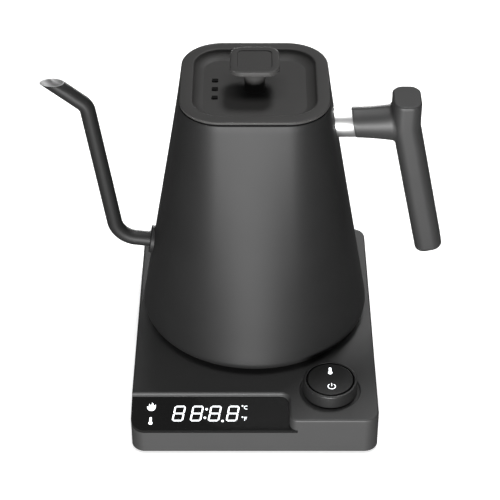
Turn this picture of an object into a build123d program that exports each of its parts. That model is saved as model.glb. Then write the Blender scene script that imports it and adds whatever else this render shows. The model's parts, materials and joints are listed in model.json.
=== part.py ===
"""Electric gooseneck kettle with a lift-off lid, standing on its power base with a display and a dial.

Millimetres. The origin is on the table under the kettle's axis. X runs from the spout to the handle,
Y from the display to the back of the base, and Z is up.
"""

import os
from math import atan2, cos, degrees, pi, radians, sin

from build123d import *

# ---- Driving dimensions ----

# Power base
BASE_WIDTH = 150.0
BASE_FRONT = -112.0
BASE_BACK = 78.5
BASE_TOP = 27.0
BASE_CORNER = 8.5
BASE_WALL = 2.5
BASE_EDGE = 1.4
FOOT_HEIGHT = 1.5
BOTTOM_THICK = 2.5

# Display panel, set into a notch at the front left of the base
PANEL_RIGHT = 21.0
PANEL_BACK = -88.0
PANEL_BACK_TOP = BASE_TOP - 2.8
PANEL_FRONT_TOP = BASE_TOP - 8.2
PANEL_THICK = 2.0
TRAY_THICK = 2.0
NOTCH_CORNER = 5.5
NOTCH_FLARE = 5.0
NOTCH_SPARE = 5.0

# Dial and its push cap
DIAL_X = 46.1
DIAL_Y = -84.4
DIAL_RADIUS = 16.5
CAP_RADIUS = 14.0
DIAL_TOP = BASE_TOP + 8.5
DISH_RADIUS = 18.3
DISH_DEPTH = 1.2
DISH_EDGE = 0.8
CAP_TRAVEL = 1.0

# Kettle vessel: round at the bottom, square at the rim
KETTLE_BOTTOM = BASE_TOP + 2.0
FOOT_RADIUS = 65.9
FOOT_BEND = 5.5
RIM_HALF = 44.0
RIM_HEIGHT = BASE_TOP + 168.0
VESSEL_TOP = RIM_HEIGHT - 1.9
WALL = 1.0
COVER_RADIUS = 60.0
PLATE_HEIGHT = 46.0
PLATE_THICK = 1.2

# Lid
LID_TOP = RIM_HEIGHT + 0.6
LID_RIM_THICK = 1.6
DISH_TOP_WIDTH = 72.5
DISH_FLOOR_WIDTH = 56.5
LID_DISH_DEPTH = 5.0
LID_PLUG_BOTTOM = 184.0
DISH_TOP_CORNER = 17.5
DISH_FLOOR_CORNER = 10.0
KNOB_WIDTH = 29.0
KNOB_CORNER = 7.5
KNOB_TOP = BASE_TOP + 183.7
KNOB_THICK = 3.5

# Spout: the centre line lies in the plane of the handle
SPOUT_RADIUS = 4.75
SPOUT_BORE = 4.0
SPOUT_ROOT = (-64.1, BASE_TOP + 51.0)
SPOUT_ELBOW = (-86.3, BASE_TOP + 53.8)
SPOUT_NECK = (-100.2, BASE_TOP + 151.4)
SPOUT_TIP_RISE = 39.7
SPOUT_TOP = BASE_TOP + 167.6
FLANGE_RADIUS = 8.75

SPOUT_BENDS = (18.0, 9.5)
FLANGE_THICK = 2.0

# Handle
ARM_HEIGHT = BASE_TOP + 139.8
BOLT_RADIUS = 2.5
BOLT_GAP = 0.2
FERRULE_RADIUS = 9.0
FERRULE_END = 59.5
GRIP_TOP = (90.7, BASE_TOP + 157.7)
GRIP_BEND = (90.7, BASE_TOP + 140.5)
GRIP_BOTTOM = (109.5, BASE_TOP + 49.9)
GRIP_BEND_RADIUS = 25.0
GRIP_THICK = 17.0
GRIP_WIDTH = 24.5
GRIP_CORNER = 6.5

# Coupler between the base and the kettle
SPIGOT_RADIUS = 12.0
SPIGOT_TOP = 36.0
RUNNING_GAP = 0.05
LIFT_GAP = 0.3
CONTACT_RINGS = (31.0, 33.3)

# ---- Worked out from the dimensions above ----

BASE_DEPTH = BASE_BACK - BASE_FRONT
BASE_MIDDLE = (BASE_FRONT + BASE_BACK) / 2
CAVITY_TOP = BASE_TOP - BASE_WALL
BOTTOM_TOP = FOOT_HEIGHT + BOTTOM_THICK
PANEL_SLOPE = atan2(PANEL_BACK_TOP - PANEL_FRONT_TOP, PANEL_BACK - BASE_FRONT)
DIAL_AXIS = Axis((DIAL_X, DIAL_Y, 0), (0, 0, 1))
WALL_RUN = FOOT_RADIUS + FOOT_BEND - RIM_HALF
WALL_LEAN = atan2(WALL_RUN, RIM_HEIGHT - KETTLE_BOTTOM - FOOT_BEND)
LID_FLOOR = LID_TOP - LID_DISH_DEPTH
UPRIGHT = (Align.CENTER, Align.CENTER, Align.MIN)


# ---- Shapes used by several pieces ----

def post(radius, start, end, spots=((0, 0),), mode=Mode.ADD):
    """Stand an upright cylinder between two heights at each (x, y) spot."""
    low, high = sorted((start, end))
    with Locations(*[(x, y, low) for x, y in spots]):
        Cylinder(radius, high - low, align=UPRIGHT, mode=mode)


def screws(spots, seat, tip, core, head, head_height):
    """Put a socket-head screw at each spot, its head against the seat and its thread ending at the tip."""
    face = seat - head_height if tip > seat else seat + head_height
    post(core, seat, tip, spots)
    post(head, seat, face, spots)
    with BuildSketch(Plane.XY.offset(face)) as sockets:
        with Locations(*spots):
            RegularPolygon(head * 0.4, 6)
    extrude(sockets.sketch, amount=(seat - face) * 0.6, mode=Mode.SUBTRACT)


def slab(width, depth, corner, low, high, centre=(0, 0), mode=Mode.ADD):
    """Fill a rounded rectangle between two heights."""
    with BuildSketch(Plane.XY.offset(low)) as outline:
        with Locations(centre):
            RectangleRounded(width, depth, corner)
    extrude(outline.sketch, amount=high - low, mode=mode)


def block(width, depth, low, high, centre=(0, 0), mode=Mode.ADD):
    """Fill a plain rectangle between two heights."""
    with Locations((centre[0], centre[1], low)):
        Box(width, depth, high - low, align=UPRIGHT, mode=mode)


def turn(outline, axis=Axis.Z, mode=Mode.ADD):
    """Turn a closed outline of (radius, height) points about an upright axis."""
    with BuildSketch(Plane(origin=axis.position, x_dir=(1, 0, 0), z_dir=(0, -1, 0))) as half:
        with BuildLine():
            Polyline(*outline, close=True)
        make_face()
    revolve(half.sketch, axis=axis, mode=mode)


def rod(radius, start, end, height, mode=Mode.ADD):
    """Lay a cylinder along X between two X positions, at a height over the kettle's middle plane."""
    with BuildSketch(Plane.YZ.offset(start)) as disc:
        with Locations((0, height)):
            Circle(radius)
    extrude(disc.sketch, amount=end - start, mode=mode)


def circle_section(radius, height):
    """Return a circle drawn as eight arcs, one for each flat and each corner of the square above it."""
    with BuildSketch(Plane.XY.offset(height)) as section:
        with BuildLine():
            for side in range(8):
                CenterArc((0, 0), radius, 45 * side - 22.5, 45)
        make_face()
    return section.sketch


def square_section(half, height):
    """Return a rounded square with corner arcs as long as its flats, so the walls have no crease."""
    corner = 2 * half / (2 + pi / 2)
    flat = half - corner
    with BuildSketch(Plane.XY.offset(height)) as section:
        with BuildLine():
            for side in (0, 90, 180, 270):
                Line(
                    Vector(half, -flat).rotate(Axis.Z, side),
                    Vector(half, flat).rotate(Axis.Z, side),
                )
                CenterArc(Vector(flat, flat).rotate(Axis.Z, side), corner, side, 90)
        make_face()
    return section.sketch


def vessel_form(inset):
    """Fill the kettle's outside shape, drawn in by an inset, from its bottom to its rim."""
    bend = FOOT_BEND - inset
    bend_centre = KETTLE_BOTTOM + FOOT_BEND
    wall_radius = FOOT_RADIUS + bend * cos(WALL_LEAN)
    wall_start = bend_centre + bend * sin(WALL_LEAN)
    with BuildSketch(Plane.XZ) as foot:
        with BuildLine():
            Polyline((0, wall_start), (0, bend_centre - bend), (FOOT_RADIUS, bend_centre - bend))
            CenterArc((FOOT_RADIUS, bend_centre), bend, -90, 90 + degrees(WALL_LEAN))
            Line((wall_radius, wall_start), (0, wall_start))
        make_face()
    revolve(foot.sketch, axis=Axis.Z)
    sections = [circle_section(wall_radius, wall_start), square_section(RIM_HALF - inset, RIM_HEIGHT)]
    loft(sections, ruled=True)


def panel_plane(drop):
    """Return the display's sloping plane, lowered square to itself by a drop."""
    top = Plane(
        origin=(0, PANEL_BACK, PANEL_BACK_TOP),
        x_dir=(1, 0, 0),
        z_dir=(0, -sin(PANEL_SLOPE), cos(PANEL_SLOPE)),
    )
    return top.offset(-drop)


def spout_centre_line():
    """Return the spout's centre line: out of the wall, up the neck and out to the tip."""
    rise = (SPOUT_ELBOW[1] - SPOUT_ROOT[1]) / (SPOUT_ELBOW[0] - SPOUT_ROOT[0])
    inward = 4.2
    inside = (SPOUT_ROOT[0] + inward, SPOUT_ROOT[1] + inward * rise)
    reach = 36.0
    beyond = (
        SPOUT_NECK[0] - reach * cos(radians(SPOUT_TIP_RISE)),
        SPOUT_NECK[1] + reach * sin(radians(SPOUT_TIP_RISE)),
    )
    with BuildLine(Plane.XZ) as line:
        FilletPolyline(inside, SPOUT_ELBOW, SPOUT_NECK, beyond, radius=SPOUT_BENDS)
    return line.line


def spout_rod(radius):
    """Sweep a solid round rod along the spout's centre line."""
    line = spout_centre_line()
    with BuildSketch(Plane(origin=line @ 0, z_dir=line % 0)) as disc:
        Circle(radius)
    sweep(disc.sketch, path=line)


def arm_plane(x, lean):
    """Return a plane across the handle's arm, leaning back as the wall does or standing upright."""
    return Plane(origin=(x, 0, ARM_HEIGHT), x_dir=(0, 1, 0), z_dir=(cos(lean), 0, sin(lean)))


def finish(piece, name):
    """Name a finished piece and write it to its own STEP file."""
    piece.part.label = name
    export_step(piece.part, f"parts/{name}.step")


os.makedirs("parts", exist_ok=True)

# ---- Power base: casing ----

THREAD_RADIUS = 1.3
SCREW_GAP = 0.4
CORNER_INSET = 11.0
CORNER_SCREWS = [
    (x, y)
    for x in (CORNER_INSET - BASE_WIDTH / 2, BASE_WIDTH / 2 - CORNER_INSET)
    for y in (BASE_FRONT + CORNER_INSET, BASE_BACK - CORNER_INSET)
]
CORNER_POST_RADIUS = 4.0
CORNER_HEAD = 2.9
HEAD_SINK = 1.5
BOTTOM_GAP = 0.1
STRIP_WIDTH = 124.0
STRIP_DEPTH = 165.0
STRIP_CORNER = 9.0
STRIP_WIDE = 5.0
STRIP_SINK = 1.0
BOARD_WIDTH = 118.0
BOARD_DEPTH = 48.0
BOARD_Y = -85.0
BOARD_BOTTOM = 10.0
BOARD_TOP = 11.6
BOARD_SCREWS = [(x, y) for x in (-54, 54) for y in (-104, -66)]
BOARD_POST = 3.0
MODULE_SPOT = (-23.0, -12.5)
MODULE_WIDTH = 61.0
MODULE_DEPTH = 14.0
MODULE_THICK = 5.0
HUB_HOLE_RADIUS = 11.3
GLAND_HEIGHT = 14.0
GLAND_RADIUS = 6.0
GLAND_FLANGE = 3.0
GLAND_LENGTH = 12.0
CORD_RADIUS = 3.5
CLAMP_Y = 57.0
CLAMP_WIDTH = 20.0
CLAMP_DEPTH = 7.0
CLAMP_TOP = GLAND_HEIGHT + CORD_RADIUS + 3.0
CLAMP_SCREWS = [(-7.5, CLAMP_Y), (7.5, CLAMP_Y)]
SADDLE_TOP = GLAND_HEIGHT - CORD_RADIUS
LEAD_RADIUS = 1.2
TURRET_RADIUS = 22.0

# The notch's plan outline: its back right corner is rounded, and its side flares into the front face
with BuildPart() as display_notch:
    with BuildSketch():
        with BuildLine():
            left = -BASE_WIDTH / 2 - NOTCH_SPARE
            front = BASE_FRONT - NOTCH_SPARE
            Line((left, front), (left, PANEL_BACK))
            Line((left, PANEL_BACK), (PANEL_RIGHT - NOTCH_CORNER, PANEL_BACK))
            CenterArc((PANEL_RIGHT - NOTCH_CORNER, PANEL_BACK - NOTCH_CORNER), NOTCH_CORNER, 90, -90)
            Line((PANEL_RIGHT, PANEL_BACK - NOTCH_CORNER), (PANEL_RIGHT, BASE_FRONT + NOTCH_FLARE))
            CenterArc((PANEL_RIGHT + NOTCH_FLARE, BASE_FRONT + NOTCH_FLARE), NOTCH_FLARE, 180, 90)
            Line((PANEL_RIGHT + NOTCH_FLARE, BASE_FRONT), (PANEL_RIGHT + NOTCH_FLARE, front))
            Line((PANEL_RIGHT + NOTCH_FLARE, front), (left, front))
        make_face()
    extrude(amount=BASE_TOP + NOTCH_SPARE)

# The room above the display, down to the face that the window rests on
with BuildPart() as window_room:
    add(display_notch.part)
    split(bisect_by=panel_plane(PANEL_THICK), keep=Keep.TOP)

# The tray left standing under the display
with BuildPart() as window_tray:
    block(
        BASE_WIDTH / 2 + PANEL_RIGHT + BASE_WALL,
        PANEL_BACK + BASE_WALL - BASE_FRONT,
        0,
        BASE_TOP,
        ((PANEL_RIGHT + BASE_WALL - BASE_WIDTH / 2) / 2, (BASE_FRONT + PANEL_BACK + BASE_WALL) / 2),
    )
    split(bisect_by=panel_plane(PANEL_THICK + TRAY_THICK), keep=Keep.TOP)

# The room inside the base
with BuildPart() as base_room:
    slab(
        BASE_WIDTH - 2 * BASE_WALL,
        BASE_DEPTH - 2 * BASE_WALL,
        BASE_CORNER - BASE_WALL,
        0,
        CAVITY_TOP,
        (0, BASE_MIDDLE),
    )
    add(window_tray.part, mode=Mode.SUBTRACT)

with BuildPart() as base_housing:
    slab(BASE_WIDTH, BASE_DEPTH, BASE_CORNER, FOOT_HEIGHT, BASE_TOP, (0, BASE_MIDDLE))
    add(base_room.part, mode=Mode.SUBTRACT)
    post(CORNER_POST_RADIUS, BOTTOM_TOP, CAVITY_TOP, CORNER_SCREWS)
    add(window_room.part, mode=Mode.SUBTRACT)
    fillet(base_housing.faces().group_by(Axis.Z)[-1].edges(), BASE_EDGE)
    # window in the tray for the display module
    with BuildSketch(panel_plane(PANEL_THICK)) as module_window:
        with Locations(MODULE_SPOT):
            Rectangle(MODULE_WIDTH + 1, MODULE_DEPTH + 1)
    extrude(module_window.sketch, amount=-TRAY_THICK * 2, mode=Mode.SUBTRACT)
    # dish and bore for the dial
    post(DISH_RADIUS, BASE_TOP - DISH_DEPTH, BASE_TOP, ((DIAL_X, DIAL_Y),), Mode.SUBTRACT)
    post(HUB_HOLE_RADIUS, CAVITY_TOP - 1, BASE_TOP, ((DIAL_X, DIAL_Y),), Mode.SUBTRACT)
    dish_rims = base_housing.edges().filter_by(GeomType.CIRCLE).filter_by(lambda e: e.radius == DISH_RADIUS)
    fillet(dish_rims.sort_by(Axis.Z)[-1], DISH_EDGE)
    # hole for the coupler turret, and for the cord gland
    post(TURRET_RADIUS + BOTTOM_GAP, CAVITY_TOP - 1, BASE_TOP, mode=Mode.SUBTRACT)
    with BuildSketch(Plane.XZ.offset(-BASE_BACK)) as gland_hole:
        with Locations((0, GLAND_HEIGHT)):
            Circle(GLAND_RADIUS)
    extrude(gland_hole.sketch, amount=BASE_WALL + 1, mode=Mode.SUBTRACT)
    post(THREAD_RADIUS, BOTTOM_TOP, BOTTOM_TOP + 9, CORNER_SCREWS, Mode.SUBTRACT)
finish(base_housing, "base_housing")

# One rubber strip runs round under the base and is all that touches the table
with BuildPart() as foot_strip:
    slab(STRIP_WIDTH, STRIP_DEPTH, STRIP_CORNER, 0, FOOT_HEIGHT + STRIP_SINK, (0, BASE_MIDDLE))
    slab(
        STRIP_WIDTH - 2 * STRIP_WIDE,
        STRIP_DEPTH - 2 * STRIP_WIDE,
        STRIP_CORNER - STRIP_WIDE,
        0,
        FOOT_HEIGHT + STRIP_SINK,
        (0, BASE_MIDDLE),
        Mode.SUBTRACT,
    )
finish(foot_strip, "foot_strip")

with BuildPart() as base_bottom:
    slab(
        BASE_WIDTH - 2 * (BASE_WALL + BOTTOM_GAP),
        BASE_DEPTH - 2 * (BASE_WALL + BOTTOM_GAP),
        BASE_CORNER - BASE_WALL,
        FOOT_HEIGHT,
        BOTTOM_TOP,
        (0, BASE_MIDDLE),
    )
    post(BOARD_POST, BOTTOM_TOP, BOARD_BOTTOM, BOARD_SCREWS)
    post(THREAD_RADIUS, BOTTOM_TOP, BOARD_BOTTOM, BOARD_SCREWS, Mode.SUBTRACT)
    post(THREAD_RADIUS + SCREW_GAP, FOOT_HEIGHT, BOTTOM_TOP, CORNER_SCREWS, Mode.SUBTRACT)
    post(CORNER_HEAD + SCREW_GAP, FOOT_HEIGHT, FOOT_HEIGHT + HEAD_SINK, CORNER_SCREWS, Mode.SUBTRACT)
    add(foot_strip.part, mode=Mode.SUBTRACT)
    # saddle under the cord, behind the gland
    block(CLAMP_WIDTH, CLAMP_DEPTH, BOTTOM_TOP, SADDLE_TOP, (0, CLAMP_Y))
    post(THREAD_RADIUS, BOTTOM_TOP, SADDLE_TOP, CLAMP_SCREWS, Mode.SUBTRACT)
finish(base_bottom, "base_bottom")

with BuildPart() as base_screws:
    screws(CORNER_SCREWS, FOOT_HEIGHT + HEAD_SINK, FOOT_HEIGHT + 10, THREAD_RADIUS, CORNER_HEAD, 1.4)
finish(base_screws, "base_screws")

# ---- Power base: display ----

with BuildPart() as display_window:
    add(display_notch.part)
    slab(BASE_WIDTH, BASE_DEPTH, BASE_CORNER, 0, BASE_TOP, (0, BASE_MIDDLE), Mode.INTERSECT)
    split(bisect_by=panel_plane(0), keep=Keep.BOTTOM)
    split(bisect_by=panel_plane(PANEL_THICK), keep=Keep.TOP)
finish(display_window, "display_window")

# Four slanted figures light through the window from one module
with BuildPart() as display_module:
    with BuildSketch(panel_plane(PANEL_THICK)) as module_face:
        with Locations(MODULE_SPOT):
            Rectangle(MODULE_WIDTH, MODULE_DEPTH)
    extrude(module_face.sketch, amount=-MODULE_THICK)
finish(display_module, "display_module")

# ---- Power base: electronics ----

RELAY_SPOT = (-8.0, -74.0)
TRANSFORMER_SPOT = (-34.0, -74.0)
GATE_HEIGHT = 18.4
GATE_WIDTH = 7.0
GATE_DEPTH = 5.0
GATE_OFFSET = 16.0
SLOT_LOW = 14.3
SLOT_HIGH = 16.5
SLOT_WIDTH = 4.5
SWITCH_SIZE = 6.0
SWITCH_HEIGHT = 3.4
SWITCH_TOP = BOARD_TOP + 5.0

with BuildPart() as control_board:
    slab(BOARD_WIDTH, BOARD_DEPTH, 3, BOARD_BOTTOM, BOARD_TOP, (0, BOARD_Y))
    post(THREAD_RADIUS + SCREW_GAP, BOARD_BOTTOM, BOARD_TOP, BOARD_SCREWS, Mode.SUBTRACT)
finish(control_board, "control_board")

with BuildPart() as board_screws:
    screws(BOARD_SCREWS, BOARD_TOP, BOTTOM_TOP, THREAD_RADIUS, 2.6, 1.5)
finish(board_screws, "board_screws")

with BuildPart() as power_relay:
    block(15.5, 19, BOARD_TOP, BOARD_TOP + 12, RELAY_SPOT)
finish(power_relay, "power_relay")

# The transformer's windings stand out at both ends of its core
with BuildPart() as supply_transformer:
    block(18, 17, BOARD_TOP, BOARD_TOP + 11, TRANSFORMER_SPOT)
    block(12, 19, BOARD_TOP + 2, BOARD_TOP + 9, TRANSFORMER_SPOT)
finish(supply_transformer, "supply_transformer")

# A slotted wheel on the dial runs through this light gate, which counts its turns
with BuildPart() as encoder_gate:
    block(GATE_WIDTH, GATE_DEPTH, BOARD_TOP, GATE_HEIGHT, (DIAL_X - GATE_OFFSET, DIAL_Y))
    slot_x = DIAL_X - GATE_OFFSET + (GATE_WIDTH - SLOT_WIDTH) / 2
    block(SLOT_WIDTH, GATE_DEPTH, SLOT_LOW, SLOT_HIGH, (slot_x, DIAL_Y), Mode.SUBTRACT)
finish(encoder_gate, "encoder_gate")

with BuildPart() as power_switch:
    block(SWITCH_SIZE, SWITCH_SIZE, BOARD_TOP, BOARD_TOP + SWITCH_HEIGHT, (DIAL_X, DIAL_Y))
    post(1.7, BOARD_TOP + SWITCH_HEIGHT, SWITCH_TOP, ((DIAL_X, DIAL_Y),))
finish(power_switch, "power_switch")

# ---- Dial and push cap ----

BUSH_RADIUS = 8.95
BUSH_BORE = 6.0
BUSH_TOP = 29.4
HUB_BORE = BUSH_RADIUS + RUNNING_GAP
HUB_RADIUS = 10.8
HUB_BOTTOM = 16.8
RING_UNDER = 26.6
RING_TOP = DIAL_TOP - 0.2
WEB_TOP = 28.6
WHEEL_RADIUS = 14.4
WHEEL_BOTTOM = 14.9
WHEEL_THICK = 1.0
WHEEL_SLOTS = 24
CAP_THICK = 2.4
CAP_EDGE = 0.5
CAP_GUIDE = 5.9
CAP_GUIDE_BOTTOM = 22.0
CAP_STEM = 1.6
CAP_STEM_BOTTOM = SWITCH_TOP + CAP_TRAVEL + LIFT_GAP

with BuildPart() as dial_bush:
    turn(
        [
            (BUSH_BORE, BOARD_TOP),
            (BUSH_RADIUS, BOARD_TOP),
            (BUSH_RADIUS, BUSH_TOP),
            (BUSH_BORE, BUSH_TOP),
        ],
        DIAL_AXIS,
    )
finish(dial_bush, "dial_bush")

with BuildPart() as dial_ring:
    turn(
        [
            (HUB_BORE, HUB_BOTTOM),
            (HUB_RADIUS, HUB_BOTTOM),
            (HUB_RADIUS, RING_UNDER),
            (DIAL_RADIUS, RING_UNDER),
            (DIAL_RADIUS, RING_TOP - 1.2),
            (DIAL_RADIUS - 0.4, RING_TOP - 0.4),
            (DIAL_RADIUS - 1.2, RING_TOP),
            (CAP_RADIUS + LIFT_GAP, RING_TOP),
            (CAP_RADIUS + LIFT_GAP, WEB_TOP),
            (HUB_BORE, WEB_TOP),
        ],
        DIAL_AXIS,
    )
finish(dial_ring, "dial_ring")

# The wheel is pushed on the hub from below and keeps the dial in the base
with BuildPart() as encoder_wheel:
    turn(
        [
            (HUB_BORE, WHEEL_BOTTOM),
            (WHEEL_RADIUS, WHEEL_BOTTOM),
            (WHEEL_RADIUS, WHEEL_BOTTOM + WHEEL_THICK),
            (HUB_RADIUS, WHEEL_BOTTOM + WHEEL_THICK),
            (HUB_RADIUS, HUB_BOTTOM),
            (HUB_BORE, HUB_BOTTOM),
        ],
        DIAL_AXIS,
    )
    with Locations((DIAL_X, DIAL_Y, WHEEL_BOTTOM)):
        with PolarLocations(WHEEL_RADIUS - 1.4, WHEEL_SLOTS):
            Box(1.8, 0.8, WHEEL_THICK, align=UPRIGHT, mode=Mode.SUBTRACT)
finish(encoder_wheel, "encoder_wheel")

with BuildPart() as dial_button:
    turn(
        [
            (0, CAP_STEM_BOTTOM),
            (CAP_STEM, CAP_STEM_BOTTOM),
            (CAP_STEM, CAP_GUIDE_BOTTOM),
            (CAP_GUIDE, CAP_GUIDE_BOTTOM),
            (CAP_GUIDE, DIAL_TOP - CAP_THICK),
            (CAP_RADIUS, DIAL_TOP - CAP_THICK),
            (CAP_RADIUS, DIAL_TOP - CAP_EDGE),
            (CAP_RADIUS - CAP_EDGE, DIAL_TOP),
            (0, DIAL_TOP),
        ],
        DIAL_AXIS,
    )
finish(dial_button, "dial_button")

# ---- Coupler ----

TURRET_FLANGE = 30.0
WELL_BOTTOM = 13.0
CONTACT_HEIGHT = 1.4
CONTACT_DEPTH = 1.0


def contact_ring(low, mode=Mode.ADD):
    """Fill one contact ring's groove round the spigot, from a height up."""
    turn(
        [
            (SPIGOT_RADIUS - CONTACT_DEPTH, low),
            (SPIGOT_RADIUS, low),
            (SPIGOT_RADIUS, low + CONTACT_HEIGHT),
            (SPIGOT_RADIUS - CONTACT_DEPTH, low + CONTACT_HEIGHT),
        ],
        mode=mode,
    )


with BuildPart() as base_connector:
    turn(
        [
            (0, BOTTOM_TOP),
            (TURRET_RADIUS, BOTTOM_TOP),
            (TURRET_RADIUS, BASE_TOP),
            (TURRET_FLANGE, BASE_TOP),
            (TURRET_FLANGE, KETTLE_BOTTOM),
            (SPIGOT_RADIUS + RUNNING_GAP, KETTLE_BOTTOM),
            (SPIGOT_RADIUS + RUNNING_GAP, WELL_BOTTOM),
            (0, WELL_BOTTOM),
        ]
    )
finish(base_connector, "base_connector")

with BuildPart() as spigot:
    turn(
        [
            (0, WELL_BOTTOM + 2 * RUNNING_GAP),
            (SPIGOT_RADIUS, WELL_BOTTOM + 2 * RUNNING_GAP),
            (SPIGOT_RADIUS, SPIGOT_TOP - 1),
            (SPIGOT_RADIUS - 1, SPIGOT_TOP),
            (0, SPIGOT_TOP),
        ]
    )
    for low in CONTACT_RINGS:
        contact_ring(low, Mode.SUBTRACT)
finish(spigot, "connector_spigot")

with BuildPart() as spigot_contacts:
    for low in CONTACT_RINGS:
        contact_ring(low)
finish(spigot_contacts, "spigot_contacts")

# Cord entry at the back: a gland through the wall and a clamp behind it
with BuildPart() as cord_gland:
    with BuildSketch(Plane.XZ.offset(-BASE_BACK - GLAND_FLANGE)) as gland_flange:
        with Locations((0, GLAND_HEIGHT)):
            Circle(GLAND_RADIUS + 2)
    extrude(gland_flange.sketch, amount=GLAND_FLANGE)
    with BuildSketch(Plane.XZ.offset(-BASE_BACK)) as gland_neck:
        with Locations((0, GLAND_HEIGHT)):
            Circle(GLAND_RADIUS)
    extrude(gland_neck.sketch, amount=GLAND_LENGTH - GLAND_FLANGE)
    with BuildSketch(Plane.XZ.offset(-BASE_BACK - GLAND_FLANGE)) as cord_bore:
        with Locations((0, GLAND_HEIGHT)):
            Circle(CORD_RADIUS)
    extrude(cord_bore.sketch, amount=GLAND_LENGTH, mode=Mode.SUBTRACT)
finish(cord_gland, "cord_gland")

with BuildPart() as cord_clamp:
    block(CLAMP_WIDTH, CLAMP_DEPTH, SADDLE_TOP, CLAMP_TOP, (0, CLAMP_Y))
    cord_top = GLAND_HEIGHT + CORD_RADIUS
    block(CORD_RADIUS * 2 + 1, CLAMP_DEPTH, SADDLE_TOP, cord_top, (0, CLAMP_Y), Mode.SUBTRACT)
    post(THREAD_RADIUS + SCREW_GAP, SADDLE_TOP, CLAMP_TOP, CLAMP_SCREWS, Mode.SUBTRACT)
finish(cord_clamp, "cord_clamp")

with BuildPart() as clamp_screws:
    screws(CLAMP_SCREWS, CLAMP_TOP, BOTTOM_TOP + 1, THREAD_RADIUS, 2.4, 1.4)
finish(clamp_screws, "clamp_screws")

TERMINAL_Y = 40.0
TERMINAL_TOP = 16.0
TERMINAL_WIDTH = 24.0
TERMINAL_DEPTH = 12.0
TERMINAL_XS = (-8, 0, 8)
SHORT_LEAD_HEIGHT = 8.0
SIDE_LEAD_HEIGHT = 7.0
SIDE_LEAD_X = 34.0
SIDE_LEAD_END = -63.0

with BuildPart() as terminal_block:
    block(TERMINAL_WIDTH, TERMINAL_DEPTH, BOTTOM_TOP, TERMINAL_TOP, (0, TERMINAL_Y))
    post(1.8, TERMINAL_TOP - 4, TERMINAL_TOP, [(x, TERMINAL_Y) for x in TERMINAL_XS], Mode.SUBTRACT)
finish(terminal_block, "terminal_block")

# Three leads run forward from the terminals to the coupler, and two run round it to the board
with BuildPart() as supply_leads:
    with BuildSketch(Plane.XZ.offset(TERMINAL_DEPTH / 2 - TERMINAL_Y)) as short_leads:
        with Locations(*[(x, SHORT_LEAD_HEIGHT) for x in TERMINAL_XS]):
            Circle(LEAD_RADIUS)
    extrude(short_leads.sketch, amount=TURRET_RADIUS - 2)
    post(TURRET_RADIUS, BOTTOM_TOP, BASE_TOP, mode=Mode.SUBTRACT)
    for side in (-1, 1):
        with BuildLine(Plane.XY.offset(SIDE_LEAD_HEIGHT)) as lead_path:
            FilletPolyline(
                (side * TERMINAL_WIDTH / 2, TERMINAL_Y + 2),
                (side * SIDE_LEAD_X, TERMINAL_Y + 2),
                (side * SIDE_LEAD_X, SIDE_LEAD_END),
                radius=8,
            )
        with BuildSketch(Plane(origin=lead_path.line @ 0, z_dir=lead_path.line % 0)) as lead_section:
            Circle(LEAD_RADIUS)
        sweep(lead_section.sketch, path=lead_path.line)
        post(LEAD_RADIUS, SIDE_LEAD_HEIGHT, BOARD_BOTTOM, ((side * SIDE_LEAD_X, SIDE_LEAD_END),))
finish(supply_leads, "supply_leads")

# ---- Kettle: vessel and heater ----

STUD_RING = 54.0
STUD_ANGLES = (90, 210, 330)
STUDS = [(STUD_RING * cos(radians(a)), STUD_RING * sin(radians(a))) for a in STUD_ANGLES]
STUD_RADIUS = 3.0
STUD_SCREW = 1.5
COVER_THICK = 2.5
COVER_TOP = KETTLE_BOTTOM + COVER_THICK
PROBE = ((31.5, 31.5),)
PROBE_RADIUS = 2.5
SEAL_RADIUS = 3.6
SEAL_FLANGE = 5.2
SEAL_THICK = 1.2
CUTOUT = ((0, 27.0),)
DIFFUSER_RADIUS = 50.0
DIFFUSER_BOTTOM = PLATE_HEIGHT - 2.5
ELEMENT_TUBE = 3.2
ELEMENT_RING = 36.0
ELEMENT_END = 60
SOCKET_BORE = SPIGOT_RADIUS + LIFT_GAP
SOCKET_RADIUS = 20.0
SOCKET_TOP = 41.0
SOCKET_FLANGE = 26.0
SOCKET_ROOF = SPIGOT_TOP + 1.2
FINGER_WIDTH = 4.0

with BuildPart() as outside:
    vessel_form(0)

with BuildPart() as inside:
    vessel_form(WALL)

with BuildPart() as spout_bore:
    spout_rod(SPOUT_BORE)

with BuildPart() as spout_solid:
    spout_rod(SPOUT_RADIUS)

with BuildPart() as kettle_body:
    add(outside.part)
    add(inside.part, mode=Mode.SUBTRACT)
    split(bisect_by=Plane.XY.offset(VESSEL_TOP), keep=Keep.BOTTOM)
    post(COVER_RADIUS, KETTLE_BOTTOM, KETTLE_BOTTOM + WALL, mode=Mode.SUBTRACT)
    add(spout_bore.part, mode=Mode.SUBTRACT)
    rod(BOLT_RADIUS + BOLT_GAP, 40, FERRULE_END, ARM_HEIGHT, Mode.SUBTRACT)
finish(kettle_body, "kettle_body")

# The plate is the floor of the water space and is welded round its edge to the wall
with BuildPart() as heater_plate:
    add(inside.part)
    post(2 * FOOT_RADIUS, PLATE_HEIGHT, PLATE_HEIGHT + PLATE_THICK, mode=Mode.INTERSECT)
    post(SEAL_RADIUS, PLATE_HEIGHT, PLATE_HEIGHT + PLATE_THICK, PROBE, Mode.SUBTRACT)
finish(heater_plate, "heater_plate")

with BuildPart() as heat_diffuser:
    post(DIFFUSER_RADIUS, DIFFUSER_BOTTOM, PLATE_HEIGHT)
    post(SEAL_RADIUS, DIFFUSER_BOTTOM, PLATE_HEIGHT, PROBE, Mode.SUBTRACT)
finish(heat_diffuser, "heat_diffuser")

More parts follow.
